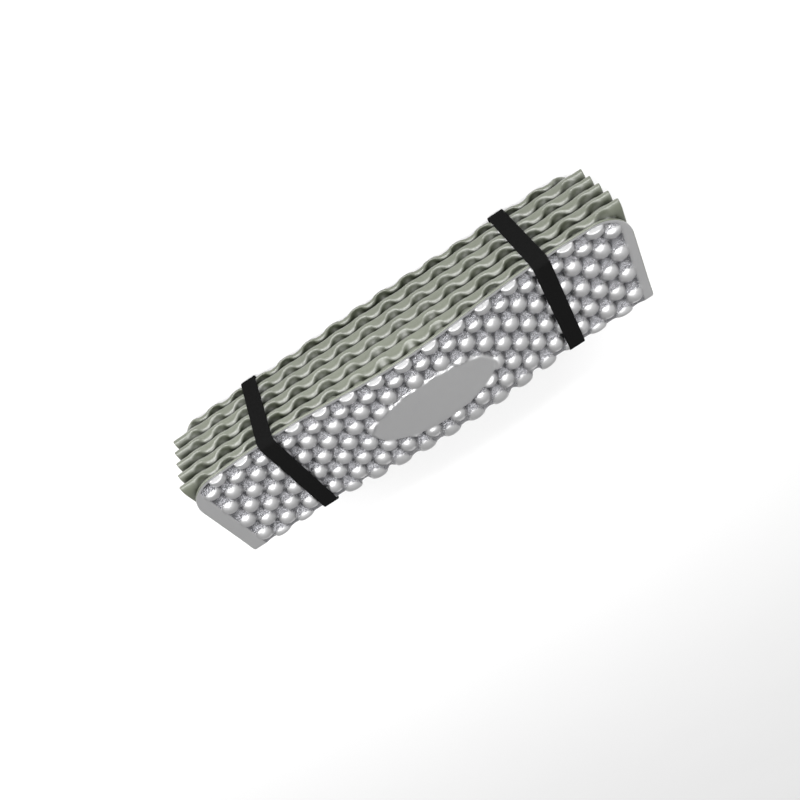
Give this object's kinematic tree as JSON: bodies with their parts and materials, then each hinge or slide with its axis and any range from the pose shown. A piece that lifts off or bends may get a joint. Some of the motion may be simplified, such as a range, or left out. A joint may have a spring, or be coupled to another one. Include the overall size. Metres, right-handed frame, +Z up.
{
  "type": "foam sleeping pad",
  "caption": "Accordion-folding egg-crate foam sleeping pad with a silver film face, held shut by two elastic straps.",
  "frame": {"origin": "centre of the strapped stack's underside, on the surface it rests on", "axes": "+X along the folds (the pad's width), +Y towards the side where the pad unfolds to, +Z up through the stack"},
  "size_m": [0.57, 0.1474, 0.1307],
  "materials": {
    "foam": "satin closed-cell foam, sage green",
    "silver_film": "crinkled aluminised film",
    "elastic": "woven black elastic",
    "thread": "black sewing thread"
  },
  "bodies": {
    "panel_01": {"panel_01_foam": "foam", "panel_01_film": "silver_film", "fold_01_web": "foam"},
    "panel_02": {"panel_02_foam": "foam", "panel_02_film": "silver_film", "fold_02_web": "foam"},
    "panel_03": {"panel_03_foam": "foam", "panel_03_film": "silver_film", "fold_03_web": "foam"},
    "panel_04": {"panel_04_foam": "foam", "panel_04_film": "silver_film", "fold_04_web": "foam"},
    "panel_05": {"panel_05_foam": "foam", "panel_05_film": "silver_film", "fold_05_web": "foam"},
    "panel_06": {"panel_06_foam": "foam", "panel_06_film": "silver_film", "fold_06_web": "foam"},
    "panel_07": {"panel_07_foam": "foam", "panel_07_film": "silver_film", "fold_07_web": "foam"},
    "panel_08": {"panel_08_foam": "foam", "panel_08_film": "silver_film", "fold_08_web": "foam"},
    "panel_09": {"panel_09_foam": "foam", "panel_09_film": "silver_film", "fold_09_web": "foam"},
    "panel_10": {"panel_10_foam": "foam", "panel_10_film": "silver_film", "fold_10_web": "foam"},
    "panel_11": {"panel_11_foam": "foam", "panel_11_film": "silver_film", "fold_11_web": "foam"},
    "panel_12": {"panel_12_foam": "foam", "panel_12_film": "silver_film"},
    "strap_left": {"strap_left_band": "elastic", "strap_left_stitching": "thread"},
    "strap_right": {"strap_right_band": "elastic", "strap_right_stitching": "thread"}
  },
  "joints": [
    {"name": "fold_01", "type": "hinge", "parent": "panel_01", "child": "panel_02", "pos_m": [0, 0.071, 0.01685], "axis": [-1, 0, 0], "range_deg": [0, 180], "deforming": ["strap_left_band", "strap_left_stitching", "strap_right_band", "strap_right_stitching"]},
    {"name": "fold_02", "type": "hinge", "parent": "panel_02", "child": "panel_03", "pos_m": [0, -0.071, 0.02655], "axis": [1, 0, 0], "range_deg": [0, 180]},
    {"name": "fold_03", "type": "hinge", "parent": "panel_03", "child": "panel_04", "pos_m": [0, 0.071, 0.03625], "axis": [-1, 0, 0], "range_deg": [0, 180]},
    {"name": "fold_04", "type": "hinge", "parent": "panel_04", "child": "panel_05", "pos_m": [0, -0.071, 0.04595], "axis": [1, 0, 0], "range_deg": [0, 180]},
    {"name": "fold_05", "type": "hinge", "parent": "panel_05", "child": "panel_06", "pos_m": [0, 0.071, 0.05565], "axis": [-1, 0, 0], "range_deg": [0, 180]},
    {"name": "fold_06", "type": "hinge", "parent": "panel_06", "child": "panel_07", "pos_m": [0, -0.071, 0.06535], "axis": [1, 0, 0], "range_deg": [0, 180]},
    {"name": "fold_07", "type": "hinge", "parent": "panel_07", "child": "panel_08", "pos_m": [0, 0.071, 0.07505], "axis": [-1, 0, 0], "range_deg": [0, 180]},
    {"name": "fold_08", "type": "hinge", "parent": "panel_08", "child": "panel_09", "pos_m": [0, -0.071, 0.08475], "axis": [1, 0, 0], "range_deg": [0, 180]},
    {"name": "fold_09", "type": "hinge", "parent": "panel_09", "child": "panel_10", "pos_m": [0, 0.071, 0.09445], "axis": [-1, 0, 0], "range_deg": [0, 180]},
    {"name": "fold_10", "type": "hinge", "parent": "panel_10", "child": "panel_11", "pos_m": [0, -0.071, 0.10415], "axis": [1, 0, 0], "range_deg": [0, 180]},
    {"name": "fold_11", "type": "hinge", "parent": "panel_11", "child": "panel_12", "pos_m": [0, 0.071, 0.11385], "axis": [-1, 0, 0], "range_deg": [0, 180]},
    {"name": "strap_left_slide", "type": "slide", "parent": "panel_01", "child": "strap_left", "axis": [1, 0, 0], "range_m": [0, 0.135]},
    {"name": "strap_right_slide", "type": "slide", "parent": "panel_01", "child": "strap_right", "axis": [-1, 0, 0], "range_m": [0, 0.135]}
  ],
  "couplings": [
    {"joint": "fold_02", "follows": "fold_01", "ratio": 1},
    {"joint": "fold_03", "follows": "fold_01", "ratio": 1},
    {"joint": "fold_04", "follows": "fold_01", "ratio": 1},
    {"joint": "fold_05", "follows": "fold_01", "ratio": 1},
    {"joint": "fold_06", "follows": "fold_01", "ratio": 1},
    {"joint": "fold_07", "follows": "fold_01", "ratio": 1},
    {"joint": "fold_08", "follows": "fold_01", "ratio": 1},
    {"joint": "fold_09", "follows": "fold_01", "ratio": 1},
    {"joint": "fold_10", "follows": "fold_01", "ratio": 1},
    {"joint": "fold_11", "follows": "fold_01", "ratio": 1}
  ]
}
